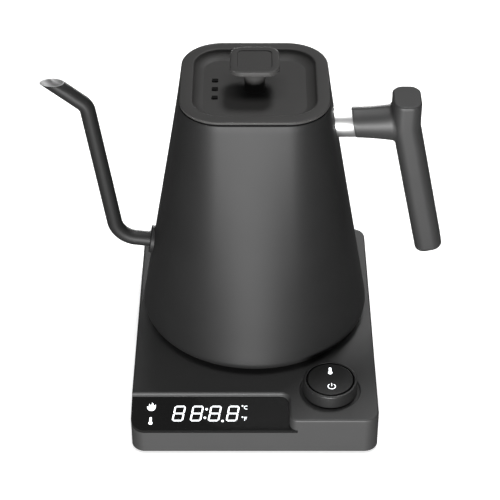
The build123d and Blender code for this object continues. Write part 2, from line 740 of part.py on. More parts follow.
# A horseshoe of sheathed element brazed under the diffuser, with its two cold ends turned down
with BuildPart() as heating_element:
    with BuildSketch(Plane.XZ) as element_section:
        with Locations((ELEMENT_RING, DIFFUSER_BOTTOM - ELEMENT_TUBE)):
            Circle(ELEMENT_TUBE)
    revolve(element_section.sketch, axis=Axis.Z, revolution_arc=ELEMENT_END - 360)
    cold_ends = [
        (ELEMENT_RING * cos(radians(a)), ELEMENT_RING * sin(radians(a))) for a in (0, ELEMENT_END)
    ]
    post(ELEMENT_TUBE, 34.5, DIFFUSER_BOTTOM - ELEMENT_TUBE, cold_ends)
finish(heating_element, "heating_element")

with BuildPart() as thermistor_probe:
    post(PROBE_RADIUS, 36, PLATE_HEIGHT + 11, PROBE)
    fillet(thermistor_probe.faces().sort_by(Axis.Z)[-1].edges(), 1.5)
    post(PROBE_RADIUS + 1.7, 38, 42, PROBE)
finish(thermistor_probe, "thermistor_probe")

with BuildPart() as probe_seal:
    post(SEAL_RADIUS, DIFFUSER_BOTTOM, PLATE_HEIGHT + PLATE_THICK, PROBE)
    post(SEAL_FLANGE, PLATE_HEIGHT + PLATE_THICK, PLATE_HEIGHT + PLATE_THICK + SEAL_THICK, PROBE)
    post(PROBE_RADIUS, DIFFUSER_BOTTOM, PLATE_HEIGHT + PLATE_THICK + SEAL_THICK, PROBE, Mode.SUBTRACT)
finish(probe_seal, "probe_seal")

with BuildPart() as thermal_cutout:
    post(5.5, DIFFUSER_BOTTOM - 4, DIFFUSER_BOTTOM, CUTOUT)
finish(thermal_cutout, "thermal_cutout")

with BuildPart() as bottom_cover:
    post(COVER_RADIUS - 2 * BOTTOM_GAP, KETTLE_BOTTOM, COVER_TOP)
    post(SOCKET_RADIUS + BOTTOM_GAP, KETTLE_BOTTOM, COVER_TOP, mode=Mode.SUBTRACT)
    post(STUD_SCREW + 0.2, KETTLE_BOTTOM, COVER_TOP, STUDS, Mode.SUBTRACT)
    post(STUD_RADIUS, KETTLE_BOTTOM, KETTLE_BOTTOM + HEAD_SINK, STUDS, Mode.SUBTRACT)
finish(bottom_cover, "bottom_cover")

with BuildPart() as cover_studs:
    post(STUD_RADIUS, COVER_TOP, PLATE_HEIGHT, STUDS)
    post(STUD_SCREW, COVER_TOP, KETTLE_BOTTOM + 10, STUDS, Mode.SUBTRACT)
finish(cover_studs, "cover_studs")

with BuildPart() as bottom_cover_screws:
    screws(STUDS, KETTLE_BOTTOM + HEAD_SINK, KETTLE_BOTTOM + 9, STUD_SCREW, 2.7, 1.4)
finish(bottom_cover_screws, "bottom_cover_screws")

with BuildPart() as kettle_socket:
    turn(
        [
            (SOCKET_BORE + 1.2, KETTLE_BOTTOM + 0.2),
            (SOCKET_RADIUS, KETTLE_BOTTOM + 0.2),
            (SOCKET_RADIUS, SOCKET_TOP),
            (0, SOCKET_TOP),
            (0, SOCKET_ROOF),
            (SOCKET_BORE, SOCKET_ROOF),
            (SOCKET_BORE, KETTLE_BOTTOM + 1.4),
        ]
    )
    turn(
        [
            (SOCKET_RADIUS, COVER_TOP),
            (SOCKET_FLANGE, COVER_TOP),
            (SOCKET_FLANGE, COVER_TOP + 2),
            (SOCKET_RADIUS, COVER_TOP + 2),
        ]
    )
    for low in CONTACT_RINGS:
        with Locations((0, 0, low)):
            with PolarLocations(SOCKET_BORE + 1.2, 3):
                Box(3.6, FINGER_WIDTH, CONTACT_HEIGHT, align=UPRIGHT, mode=Mode.SUBTRACT)
finish(kettle_socket, "kettle_socket")

with BuildPart() as socket_contacts:
    for low in CONTACT_RINGS:
        with Locations((0, 0, low)):
            with PolarLocations(SOCKET_BORE + 1.6, 3):
                Box(2.8, FINGER_WIDTH, CONTACT_HEIGHT, align=UPRIGHT)
finish(socket_contacts, "socket_contacts")

# ---- Kettle: spout ----

with BuildPart() as spout_tube:
    add(spout_solid.part)
    add(spout_bore.part, mode=Mode.SUBTRACT)
    add(outside.part, mode=Mode.SUBTRACT)
    split(bisect_by=Plane.XY.offset(SPOUT_TOP), keep=Keep.BOTTOM)
finish(spout_tube, "spout_tube")

with BuildPart() as spout_flange:
    wall_normal = (-cos(WALL_LEAN), 0, sin(WALL_LEAN))
    with BuildSketch(Plane(origin=(SPOUT_ROOT[0], 0, SPOUT_ROOT[1]), z_dir=wall_normal)) as flange_disc:
        Circle(FLANGE_RADIUS)
    extrude(flange_disc.sketch, amount=FLANGE_THICK)
    extrude(flange_disc.sketch, amount=-FLANGE_THICK - 1)
    add(outside.part, mode=Mode.SUBTRACT)
    add(spout_solid.part, mode=Mode.SUBTRACT)
finish(spout_flange, "spout_flange")

# ---- Kettle: handle ----

INSERT_RADIUS = 4.5
# Places along the arm: X, half width, half height, and the lean of the section
ARM_STATIONS = [
    (FERRULE_END, FERRULE_RADIUS + 0.3, FERRULE_RADIUS + 0.3, WALL_LEAN),
    (75.0, 9.6, 10.4, WALL_LEAN / 2),
    (91.0, 10.2, 13.0, 0),
]
INSERT_START = 62.0
INSERT_END = 82.0
BOLT_HEAD_END = 43.0
BOLT_HEAD_START = 40.0
BOLT_HEAD_RADIUS = 5.0

with BuildPart() as handle_ferrule:
    rod(FERRULE_RADIUS, 44, 66, ARM_HEIGHT)
    add(outside.part, mode=Mode.SUBTRACT)
    split(bisect_by=arm_plane(FERRULE_END, WALL_LEAN), keep=Keep.BOTTOM)
    rod(BOLT_RADIUS + BOLT_GAP, BOLT_HEAD_START, 66, ARM_HEIGHT, Mode.SUBTRACT)
finish(handle_ferrule, "handle_ferrule")

with BuildPart() as handle_grip:
    # the grip's top stands upright, and below the arm it leans away from the kettle
    with BuildLine(Plane.XZ) as grip_line:
        FilletPolyline(GRIP_TOP, GRIP_BEND, GRIP_BOTTOM, radius=GRIP_BEND_RADIUS)
    with BuildSketch(Plane(origin=grip_line.line @ 0, x_dir=(1, 0, 0), z_dir=(0, 0, -1))) as grip_section:
        RectangleRounded(GRIP_THICK, GRIP_WIDTH, GRIP_CORNER)
    sweep(grip_section.sketch, path=grip_line.line)
    chamfer(handle_grip.faces().sort_by(Axis.Z)[-1].edges(), 0.9)
    fillet(handle_grip.faces().sort_by(Axis.Z)[0].edges(), 2.6)
    # the arm starts round at the ferrule and flares upright into the grip
    arm_sections = []
    for x, half_width, half_height, lean in ARM_STATIONS:
        with BuildSketch(arm_plane(x, lean)) as arm_section:
            Ellipse(half_width, half_height)
        arm_sections.append(arm_section.sketch)
    loft(arm_sections)
    rod(INSERT_RADIUS, INSERT_START, INSERT_END + 1, ARM_HEIGHT, Mode.SUBTRACT)
    rod(BOLT_RADIUS + BOLT_GAP, 55, INSERT_START, ARM_HEIGHT, Mode.SUBTRACT)
finish(handle_grip, "handle_grip")

with BuildPart() as handle_insert:
    rod(INSERT_RADIUS, INSERT_START, INSERT_END, ARM_HEIGHT)
    rod(BOLT_RADIUS, INSERT_START, INSERT_END, ARM_HEIGHT, Mode.SUBTRACT)
finish(handle_insert, "handle_insert")

with BuildPart() as handle_bolt:
    rod(BOLT_RADIUS, BOLT_HEAD_END, INSERT_END - 2, ARM_HEIGHT)
    rod(BOLT_HEAD_RADIUS, BOLT_HEAD_START, BOLT_HEAD_END, ARM_HEIGHT)
    with BuildSketch(Plane.YZ.offset(BOLT_HEAD_START)) as hex_recess:
        with Locations((0, ARM_HEIGHT)):
            RegularPolygon(1.75, 6)
    extrude(hex_recess.sketch, amount=1.8, mode=Mode.SUBTRACT)
finish(handle_bolt, "handle_bolt")

# A wedge washer takes up the lean of the wall under the bolt's head and seals the hole
with BuildPart() as handle_seal:
    rod(BOLT_HEAD_RADIUS + 1.5, BOLT_HEAD_END, 55, ARM_HEIGHT)
    add(inside.part, mode=Mode.INTERSECT)
    rod(BOLT_RADIUS, BOLT_HEAD_START, 55, ARM_HEIGHT, Mode.SUBTRACT)
finish(handle_seal, "handle_seal")

# ---- Lid ----

RIM_CORNER = 2 * RIM_HALF / (2 + pi / 2)
PLUG_WIDTH = 82.0
PLUG_CORNER = 21.3
PLUG_WALL = 1.75
LID_POSTS = [(x, y) for x in (-30, 30) for y in (-30, 30)]
LID_POST_RADIUS = 3.0
LID_THREAD = 1.2
INNER_PLATE_THICK = 1.2
INNER_PLATE_BOTTOM = LID_PLUG_BOTTOM - INNER_PLATE_THICK
BOSS_RADIUS = 7.0
BOSS_BOTTOM = 187.0
KNOB_SCREW = 1.9
VENT_CENTRE = (-23.5, -1.6)
VENT_PITCH = 9.3
VENT_SIZE = (3.6, 3.0)
VENTS = [(VENT_CENTRE[0], VENT_CENTRE[1] + row * VENT_PITCH) for row in (-1, 0, 1)]
GASKET_LOW = 190.4
GASKET_HIGH = 192.9
GASKET_WIDTH = 85.8


def lid_dish(grow, floor, top):
    """Return the floor and mouth outlines of the lid's dish, widened by grow."""
    with BuildSketch(Plane.XY.offset(floor)) as low:
        low_width = DISH_FLOOR_WIDTH + 2 * grow
        RectangleRounded(low_width, low_width, DISH_FLOOR_CORNER + grow)
    with BuildSketch(Plane.XY.offset(top)) as high:
        high_width = DISH_TOP_WIDTH + 2 * grow
        RectangleRounded(high_width, high_width, DISH_TOP_CORNER + grow)
    return [low.sketch, high.sketch]


with BuildPart() as lid_cover:
    slab(2 * RIM_HALF, 2 * RIM_HALF, RIM_CORNER, LID_TOP - LID_RIM_THICK, LID_TOP)
    fillet(lid_cover.faces().sort_by(Axis.Z)[-1].edges(), 0.7)
    slab(PLUG_WIDTH, PLUG_WIDTH, PLUG_CORNER, LID_PLUG_BOTTOM, LID_TOP - LID_RIM_THICK)
    slab(
        PLUG_WIDTH - 2 * PLUG_WALL,
        PLUG_WIDTH - 2 * PLUG_WALL,
        PLUG_CORNER - PLUG_WALL,
        LID_PLUG_BOTTOM,
        LID_TOP - LID_RIM_THICK - 0.4,
        mode=Mode.SUBTRACT,
    )
    loft(lid_dish(1.6, LID_FLOOR - 1.8, LID_TOP - 0.2), ruled=True)
    post(LID_POST_RADIUS, LID_PLUG_BOTTOM, LID_TOP - LID_RIM_THICK, LID_POSTS)
    post(BOSS_RADIUS, BOSS_BOTTOM, LID_FLOOR)
    loft(lid_dish(0, LID_FLOOR, LID_TOP), ruled=True, mode=Mode.SUBTRACT)
    post(LID_THREAD, LID_PLUG_BOTTOM, LID_FLOOR - 0.1, LID_POSTS, Mode.SUBTRACT)
    post(KNOB_SCREW + 0.2, BOSS_BOTTOM, LID_FLOOR, mode=Mode.SUBTRACT)
    with BuildSketch(Plane.XY.offset(LID_FLOOR)) as vents:
        with Locations(*VENTS):
            Rectangle(*VENT_SIZE)
    extrude(vents.sketch, amount=-3, mode=Mode.SUBTRACT)
finish(lid_cover, "lid_cover")

with BuildPart() as lid_knob:
    # stem: a round neck that flares out under the plate
    with BuildSketch(Plane.XZ) as stem_half:
        with BuildLine():
            knob_under = KNOB_TOP - KNOB_THICK
            foot = (6.2, LID_FLOOR)
            shoulder = (9.0, knob_under)
            Polyline(shoulder, (0, knob_under), (0, LID_FLOOR), foot)
            ThreePointArc(foot, (6.75, 200.0), shoulder)
        make_face()
    revolve(stem_half.sketch, axis=Axis.Z)
    slab(KNOB_WIDTH, KNOB_WIDTH, KNOB_CORNER, KNOB_TOP - KNOB_THICK, KNOB_TOP)
    fillet(lid_knob.faces().sort_by(Axis.Z)[-1].edges(), 0.8)
    slab(20, 20, 3.0, KNOB_TOP - 0.6, KNOB_TOP, mode=Mode.SUBTRACT)
    post(KNOB_SCREW, LID_FLOOR, 203.0, mode=Mode.SUBTRACT)
finish(lid_knob, "lid_knob")

with BuildPart() as lid_knob_screw:
    screws(((0, 0),), BOSS_BOTTOM, 202.5, KNOB_SCREW, 3.6, 2.1)
finish(lid_knob_screw, "lid_knob_screw")

with BuildPart() as lid_gasket:
    slab(GASKET_WIDTH, GASKET_WIDTH, 23.8, GASKET_LOW, GASKET_HIGH)
    slab(PLUG_WIDTH, PLUG_WIDTH, PLUG_CORNER, GASKET_LOW, GASKET_HIGH, mode=Mode.SUBTRACT)
finish(lid_gasket, "lid_gasket")

with BuildPart() as lid_inner_plate:
    slab(PLUG_WIDTH, PLUG_WIDTH, PLUG_CORNER, INNER_PLATE_BOTTOM, LID_PLUG_BOTTOM)
    post(LID_THREAD + 0.2, INNER_PLATE_BOTTOM, LID_PLUG_BOTTOM, LID_POSTS, Mode.SUBTRACT)
    with BuildSketch(Plane.XY.offset(LID_PLUG_BOTTOM)) as steam_slots:
        with Locations(*[(x, y * VENT_PITCH) for x in (-18, 18) for y in (-1, 0, 1)]):
            SlotOverall(8, 2.4)
    extrude(steam_slots.sketch, amount=-INNER_PLATE_THICK, mode=Mode.SUBTRACT)
finish(lid_inner_plate, "lid_inner_plate")

with BuildPart() as lid_screws:
    screws(LID_POSTS, INNER_PLATE_BOTTOM, 190.0, LID_THREAD, 2.4, 1.4)
finish(lid_screws, "lid_screws")
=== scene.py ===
"""Looks for the electric gooseneck kettle and its power base.

Shapes are worked out in millimetres in the part's own frame and turned into metres as meshes are made.
The origin is on the table under the kettle, X runs from the spout to the handle, Y to the back, Z up.
"""

import json
from math import atan2, cos, hypot, pi, radians, sin, sqrt, tan

import bmesh
import bpy
from mathutils import Matrix, Vector


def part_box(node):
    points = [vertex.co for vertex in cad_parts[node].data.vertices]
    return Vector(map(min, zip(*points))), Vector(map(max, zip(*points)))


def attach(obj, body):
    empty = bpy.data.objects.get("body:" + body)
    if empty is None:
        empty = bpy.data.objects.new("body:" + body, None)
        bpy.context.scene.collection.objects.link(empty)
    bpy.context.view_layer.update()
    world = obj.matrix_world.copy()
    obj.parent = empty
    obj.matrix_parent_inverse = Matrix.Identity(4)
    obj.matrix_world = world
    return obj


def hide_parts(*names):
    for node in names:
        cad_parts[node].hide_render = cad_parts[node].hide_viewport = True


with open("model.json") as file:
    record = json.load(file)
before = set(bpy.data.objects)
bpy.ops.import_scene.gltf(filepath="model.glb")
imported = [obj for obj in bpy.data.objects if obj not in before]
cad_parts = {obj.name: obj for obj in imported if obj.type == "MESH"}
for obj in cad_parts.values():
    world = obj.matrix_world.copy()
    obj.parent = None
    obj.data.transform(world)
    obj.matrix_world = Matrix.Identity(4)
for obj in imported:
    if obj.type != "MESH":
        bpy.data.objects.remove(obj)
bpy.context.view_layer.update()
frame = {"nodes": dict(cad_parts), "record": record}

MM = 0.001
SMOOTH_UNDER = radians(32)


def span(node):
    """Return a CAD node's lowest and highest corners in millimetres."""
    low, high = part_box(node)
    return low / MM, high / MM


# ---- Driving sizes in millimetres, read from the frame where it holds them ----

VESSEL_LOW, VESSEL_HIGH = span("kettle_body")
LID_LOW, LID_HIGH = span("lid_cover")
KNOB_LOW, KNOB_HIGH = span("lid_knob")
WINDOW_LOW, WINDOW_HIGH = span("display_window")
DIAL_LOW, DIAL_HIGH = span("dial_ring")
CAP_LOW, CAP_HIGH = span("dial_button")
FERRULE_LOW, FERRULE_HIGH = span("handle_ferrule")

BASE_TOP = span("base_housing")[1].z

# Vessel: a ring is drawn in eight parts, four sides and four corners
FOOT_BEND = 5.5
FOOT_RADIUS = VESSEL_HIGH.x - FOOT_BEND
RIM_HALF = LID_HIGH.x
RIM_HEIGHT = BASE_TOP + 168.0
WALL = 1.0
COVER_RADIUS = 60.0
WALL_LEAN = atan2(VESSEL_HIGH.x - RIM_HALF, RIM_HEIGHT - VESSEL_LOW.z - FOOT_BEND)
PART_STEPS = 24

# Lid: an edge is so far out from the rim's outline
DISH_DEPTH = 5.0
DISH_FLOOR = LID_HIGH.z - DISH_DEPTH
DISH_THICK = 1.8
DISH_EDGE = -6.6
COVE_EDGE = -7.75
COVE_WIDTH = 8.0
COVE_SWEEP = radians(82)
PLUG_OUTSIDE = -3.0
PLUG_INSIDE = -4.75
LID_SHOULDER = 192.4
LID_RIM_THICK = 1.6
VENT_CENTRE = (-23.5, -1.6)
VENT_PITCH = 9.3
VENT_SIZE = (3.6, 3.0)
VENT_CORNER = 0.3
KNOB_THICK = 3.5
KNOB_CORNER = 7.5
KNOB_BORDER = 4.25
KNOB_SUNK = 0.6

# Spout: the centre line's corners as X and Z, and the bends' radii at the elbow and the neck
SPOUT_RADIUS = 4.75
SPOUT_BORE = 4.0
SPOUT_ROOT = (-64.1, BASE_TOP + 51.0)
SPOUT_ELBOW = (-86.3, BASE_TOP + 53.8)
SPOUT_NECK = (-100.2, BASE_TOP + 151.4)
SPOUT_BENDS = (18.0, 9.5)
SPOUT_TIP_RISE = radians(39.7)
SPOUT_TOP = BASE_TOP + 167.6
COLLAR_RADIUS = 8.75
COLLAR_BACK = -0.8
COLLAR_FRONT = 2.0

# Handle: the grip's centre line has one bend under its head
ARM_HEIGHT = (FERRULE_LOW.z + FERRULE_HIGH.z) / 2
FERRULE_RADIUS = FERRULE_HIGH.y
FERRULE_END = 59.5
ARM_START = FERRULE_END + 0.4
ARM_END = 91.0
ARM_ROOT = 2.4
ARM_SEGMENTS = 96
ARM_STATIONS = 16
ROOT_STEPS = 7
GRIP_TOP = (90.7, BASE_TOP + 157.7)
GRIP_BEND = (90.7, BASE_TOP + 140.5)
GRIP_BOTTOM = (109.5, BASE_TOP + 49.9)
GRIP_BEND_RADIUS = 25.0
GRIP_HALF_THICK = 8.5
GRIP_HALF_WIDE = 12.25
GRIP_CORNER = 6.5
GRIP_LEAN = atan2(GRIP_BOTTOM[0] - GRIP_BEND[0], GRIP_BEND[1] - GRIP_BOTTOM[1])

# Dial: radii and heights of the ring and the cap
DIAL_CENTRE = (DIAL_LOW + DIAL_HIGH) / 2
DIAL_BORE = 9.0
DIAL_SLEEVE = 10.8
RING_UNDER = 26.6
WEB_TOP = 28.6
CAP_STALK = 1.6
CAP_GUIDE_RADIUS = 5.9
CAP_GUIDE_BOTTOM = 22.0
CAP_THICK = 2.4

# Display: places are right of the kettle's axis and up the slope from the window's front edge
WINDOW_DEPTH = 24.0
WINDOW_RISE = 5.4
WINDOW_SLOPE = atan2(WINDOW_RISE, WINDOW_DEPTH)
PRINT_THICK = 0.04
PRINT_GAP = 0.03
FIGURE_WIDTH = 5.9
FIGURE_HEIGHT = 10.2
FIGURE_PITCH = 10.9
FIGURE_FIRST = -46.0
FIGURE_MIDDLE = 12.25
FIGURE_SLANT = tan(radians(9))
BAR_WIDTH = 0.9
BAR_GAP = 0.18
DOT_RADIUS = 0.75
LETTER_LINE = 0.3
MARK_LINE = 0.42

# Camera: its place in metres, and how far it looks down in degrees
CAMERA_PLACE = (0, -0.8486, 0.7329)
CAMERA_DOWN = 38.03
CAMERA_LENS = 121.98
CAMERA_SHIFT = -0.0094


# ---- Outlines ----

def full_turn(count):
    """Return equal angles all the way round."""
    return [2 * pi * k / count for k in range(count)]


def soften(corners, steps=5):
    """Round the corners of a closed outline of (x, y, radius) points with arcs."""
    points = []
    count = len(corners)
    for i, (x, y, radius) in enumerate(corners):
        here = Vector((x, y))
        back = Vector(corners[i - 1][:2]) - here
        ahead = Vector(corners[(i + 1) % count][:2]) - here
        half_angle = back.angle(ahead) / 2 if back.length and ahead.length else pi / 2
        if radius <= 0 or half_angle > pi / 2 - 0.01:
            points.append((x, y))
            continue
        cut = min(radius / tan(half_angle), 0.499 * back.length, 0.499 * ahead.length)
        start = here + back.normalized() * cut
        end = here + ahead.normalized() * cut
        bisector = (back.normalized() + ahead.normalized()).normalized()
        centre = here + bisector * (cut / cos(half_angle))
        for k in range(steps + 1):
            toward = start.lerp(end, k / steps) - centre
            points.append(tuple(centre + toward.normalized() * cut * tan(half_angle)))
    return points


def rounded_rect(half_x, half_y, corner, arc=12, side=6):
    """Return the points of a rounded rectangle about the origin, anticlockwise from its right side."""
    points = []
    for turn in range(4):
        along, across = (half_y, half_x) if turn % 2 == 0 else (half_x, half_y)
        flat = along - corner
        spin = Matrix.Rotation(turn * pi / 2, 2)
        for k in range(side):
            points.append(spin @ Vector((across, flat * (2 * k / side - 1))))
        for k in range(arc):
            angle = k / arc * pi / 2
            centre = Vector((across - corner, flat))
            points.append(spin @ (centre + corner * Vector((cos(angle), sin(angle)))))
    return points


def trace(corners, pitch=4.0, steps=18):
    """Return close points along an open line of (x, z, bend radius) corners."""
    bends = soften(corners, steps)
    points = []
    for a, b in zip(bends, bends[1:]):
        gap = hypot(b[0] - a[0], b[1] - a[1])
        count = max(1, round(gap / pitch))
        points += [(a[0] + (b[0] - a[0]) * k / count, a[1] + (b[1] - a[1]) * k / count) for k in range(count)]
    return points + [bends[-1]]


# ---- Meshes ----

def skin(rings, loop=False, start_cap=False, end_cap=False):
    """Join equal closed rings of points into a bmesh of quads."""
    mesh = bmesh.new()
    rows = [[mesh.verts.new(Vector(p) * MM) for p in ring] for ring in rings]
    pairs = list(zip(rows, rows[1:]))
    if loop:
        pairs.append((rows[-1], rows[0]))
    for low, high in pairs:
        for i in range(len(low)):
            j = (i + 1) % len(low)
            mesh.faces.new((low[i], low[j], high[j], high[i]))
    if start_cap:
        mesh.faces.new(list(reversed(rows[0])))
    if end_cap:
        mesh.faces.new(rows[-1])
    bmesh.ops.remove_doubles(mesh, verts=mesh.verts, dist=1e-7)
    bmesh.ops.recalc_face_normals(mesh, faces=mesh.faces)
    return mesh


def stand_up(name, mesh):
    """Turn a bmesh into an object in the scene."""
    data = bpy.data.meshes.new(name)
    mesh.to_mesh(data)
    mesh.free()
    thing = bpy.data.objects.new(name, data)
    bpy.context.scene.collection.objects.link(thing)
    return thing


def cut(thing, mesh):
    """Cut a closed bmesh out of an object, whose second material then lines the cut with painted shade."""
    cutter = stand_up("cutter", mesh)
    for polygon in cutter.data.polygons:
        polygon.material_index = 1
    modifier = thing.modifiers.new("cut", "BOOLEAN")
    modifier.object = cutter
    modifier.solver = "EXACT"
    done = bpy.data.meshes.new_from_object(thing.evaluated_get(bpy.context.evaluated_depsgraph_get()))
    thing.modifiers.clear()
    thing.data = done
    bpy.data.objects.remove(cutter)


def piece(name, mesh, material, body, replaces=(), holes=None):
    """Turn a bmesh into a finished object that rides on a body and stands for CAD nodes; holes cut into it
    are lined near-black as painted shade.
    """
    thing = stand_up(name, mesh)
    thing.data.materials.append(material)
    if holes:
        # Near-black lining for the holes' walls: painted shade where the walls would otherwise show lit.
        thing.data.materials.append(MATERIALS["painted_vent_shade"])
        cut(thing, holes)
    thing.data.shade_smooth()
    thing.data.set_sharp_from_angle(angle=SMOOTH_UNDER)
    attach(thing, body)
    if replaces:
        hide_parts(*replaces)
    return thing


def join(*meshes):
    """Put several bmeshes into the first one."""
    first = meshes[0]
    for other in meshes[1:]:
        data = bpy.data.meshes.new("joined")
        other.to_mesh(data)
        other.free()
        first.from_mesh(data)
        bpy.data.meshes.remove(data)
    return first


def moulding(half_x, half_y, corner, profile, centre=(0, 0), arc=12, side=6, **caps):
    """Sweep a profile of (offset, height) points round a rounded rectangle."""
    rings = []
    for offset, height in profile:
        outline = rounded_rect(half_x + offset, half_y + offset, corner + offset, arc, side)
        rings.append([(x + centre[0], y + centre[1], height) for x, y in outline])
    return skin(rings, **caps)


def lathe(profile, centre=(0, 0), segments=128, loop=True):
    """Turn a profile of (radius, height) points about an upright axis."""
    angles = full_turn(segments)
    rings = []
    for radius, height in profile:
        rings.append([(centre[0] + radius * cos(a), centre[1] + radius * sin(a), height) for a in angles])
    return skin(rings, loop=loop)


def place(mesh, matrix):
    """Move a bmesh made in millimetre axes by a matrix whose shift is in millimetres."""
    shifted = matrix.copy()
    shifted.translation = matrix.translation * MM
    mesh.transform(shifted)
    return mesh


def axes(origin, x, y, z):
    """Return the matrix that stands a shape on the given axes at an origin."""
    matrix = Matrix((x, y, z)).transposed().to_4x4()
    matrix.translation = Vector(origin)
    return matrix


# ---- Materials ----

def shader(name):
    """Start a node material and return it with its nodes, links and main shader."""
    material = bpy.data.materials.new(name)
    material.use_nodes = True
    tree = material.node_tree
    return material, tree.nodes, tree.links, tree.nodes["Principled BSDF"]


def noise(nodes, links, scale, detail=2.0, stretch=(1, 1, 1)):
    """Return a noise texture in the part's own coordinates."""
    coordinates = nodes.new("ShaderNodeTexCoord")
    mapping = nodes.new("ShaderNodeMapping")
    mapping.inputs["Scale"].default_value = stretch
    texture = nodes.new("ShaderNodeTexNoise")
    texture.inputs["Scale"].default_value = scale
    texture.inputs["Detail"].default_value = detail
    links.new(coordinates.outputs["Object"], mapping.inputs["Vector"])
    links.new(mapping.outputs["Vector"], texture.inputs["Vector"])
    return texture.outputs["Fac"]


def spread(nodes, links, value, low, high, socket):
    """Map a 0 to 1 value onto a range and feed it to a shader socket."""
    ramp = nodes.new("ShaderNodeMapRange")
    ramp.inputs["From Min"].default_value = 0.3
    ramp.inputs["From Max"].default_value = 0.7
    ramp.inputs["To Min"].default_value = low
    ramp.inputs["To Max"].default_value = high
    links.new(value, ramp.inputs["Value"])
    links.new(ramp.outputs["Result"], socket)


def tint(nodes, links, value, dark, light, socket):
    """Mix two colours by a value and feed the result to a colour socket."""
    mix = nodes.new("ShaderNodeMix")
    mix.data_type = "RGBA"
    mix.inputs["A"].default_value = (*dark, 1)
    mix.inputs["B"].default_value = (*light, 1)
    links.new(value, mix.inputs["Factor"])
    links.new(mix.outputs["Result"], socket)


def grain(nodes, links, main, value, height, strength):
    """Add a fine bump from a value."""
    bump = nodes.new("ShaderNodeBump")
    bump.inputs["Strength"].default_value = strength
    bump.inputs["Distance"].default_value = height * MM
    links.new(value, bump.inputs["Height"])
    links.new(bump.outputs["Normal"], main.inputs["Normal"])


def surface(name, dark, light, rough, bump=0.0, grain_scale=2500, patch_scale=60, metallic=0.0,
            specular=0.5, stretch=(1, 1, 1)):
    """A material with broad patches of colour and a fine grain of roughness and bump."""
    material, nodes, links, main = shader(name)
    main.inputs["Metallic"].default_value = metallic
    main.inputs["Specular IOR Level"].default_value = specular
    patches = noise(nodes, links, patch_scale, 4.0)
    tint(nodes, links, patches, dark, light, main.inputs["Base Color"])
    fine = noise(nodes, links, grain_scale, 2.0, stretch)
    spread(nodes, links, fine, rough[0], rough[1], main.inputs["Roughness"])
    if bump:
        grain(nodes, links, main, fine, bump, 1.0)
    return material


def grey(value, warm=0.0):
    """Return a grey with a slight warm cast."""
    return (value * (1 + warm), value, value * (1 - warm))


def glow(name, strength):
    """A lit symbol whose light is slightly uneven."""
    material, nodes, links, main = shader(name)
    flicker = noise(nodes, links, 900, 2.0)
    tint(nodes, links, flicker, (0.80, 0.88, 0.95), (1.0, 1.0, 1.0), main.inputs["Emission Color"])
    main.inputs["Base Color"].default_value = (0.8, 0.8, 0.8, 1)
    main.inputs["Emission Strength"].default_value = strength
    return material


MATERIALS = {
    "coated_steel": surface(
        "coated_steel", grey(0.007), grey(0.010), (0.51, 0.56), 0.010, 2600, 40, specular=0.28),
    "base_coat": surface(
        "base_coat", grey(0.016), grey(0.021), (0.56, 0.62), 0.010, 2600, 40, specular=0.55),
    "black_plastic": surface(
        "black_plastic", grey(0.018), grey(0.024), (0.50, 0.62), 0.012, 3000, specular=0.3),
    "satin_plastic": surface(
        "satin_plastic", grey(0.016), grey(0.021), (0.48, 0.55), 0.010, 3200, 50, specular=0.45),
    "lid_plastic": surface(
        "lid_plastic", grey(0.033, 0.02), grey(0.040, 0.02), (0.50, 0.58), 0.010, 3200, 50, specular=0.2),
    "cap_plastic": surface(
        "cap_plastic", grey(0.006), grey(0.009), (0.42, 0.5), 0.008, 3200, 50, specular=0.25),
    # Near-black paint for the vents' walls: painted shade inside the holes, not the plastic's own colour.
    "painted_vent_shade": surface(
        "painted_vent_shade", grey(0.002), grey(0.003), (0.7, 0.8), 0.008, 3000, 50, specular=0.1),
    "dial_plastic": surface(
        "dial_plastic", grey(0.008), grey(0.011), (0.40, 0.46), 0.008, 3200, 50, specular=0.4),
    "gloss_panel": surface(
        "gloss_panel", grey(0.006), grey(0.008), (0.05, 0.09), grain_scale=300, patch_scale=30),
    "polished_steel": surface(
        "polished_steel", grey(0.82), grey(0.90), (0.34, 0.44), 0.004, 900, 60, metallic=1.0,
        stretch=(8, 0.4, 0.4)),
    "bare_steel": surface("bare_steel", grey(0.50), grey(0.60), (0.24, 0.36), 0.003, 1200, 50, metallic=1.0),
    "diffuser_aluminium": surface(
        "diffuser_aluminium", grey(0.66), grey(0.74), (0.38, 0.5), 0.01, 1500, 80, metallic=1.0),
    "contact_brass": surface(
        "contact_brass", (0.62, 0.43, 0.16), (0.72, 0.53, 0.22), (0.22, 0.36), 0.004, 1500, 80, metallic=1.0),
    "screw_steel": surface(
        "screw_steel", grey(0.36), grey(0.46), (0.28, 0.42), 0.006, 2000, 120, metallic=1.0),
    "foot_rubber": surface("foot_rubber", grey(0.014), grey(0.020), (0.70, 0.85), 0.03, 2200),
    "seal_silicone": surface("seal_silicone", grey(0.36), grey(0.42), (0.42, 0.55), 0.01, 1500),
    "board": surface("board", (0.008, 0.09, 0.035), (0.012, 0.13, 0.05), (0.28, 0.4), 0.02, 800, 90),
    "component_plastic": surface("component_plastic", grey(0.020), grey(0.028), (0.5, 0.62), 0.02, 2200),
    "relay_blue": surface("relay_blue", (0.02, 0.07, 0.28), (0.03, 0.09, 0.34), (0.28, 0.38), 0.01, 1500),
    "transformer_yellow": surface(
        "transformer_yellow", (0.55, 0.36, 0.05), (0.66, 0.45, 0.07), (0.35, 0.5), 0.02, 600),
    "lead_insulation": surface(
        "lead_insulation", (0.22, 0.02, 0.015), (0.28, 0.03, 0.02), (0.38, 0.5), 0.01, 1500),
    "terminal_white": surface("terminal_white", grey(0.62, 0.02), grey(0.70, 0.02), (0.4, 0.5), 0.01, 1500),
}
GLOW = glow("lit_symbol", 2.2)
OWN_LOOKS = {"base_housing": "base_coat"}


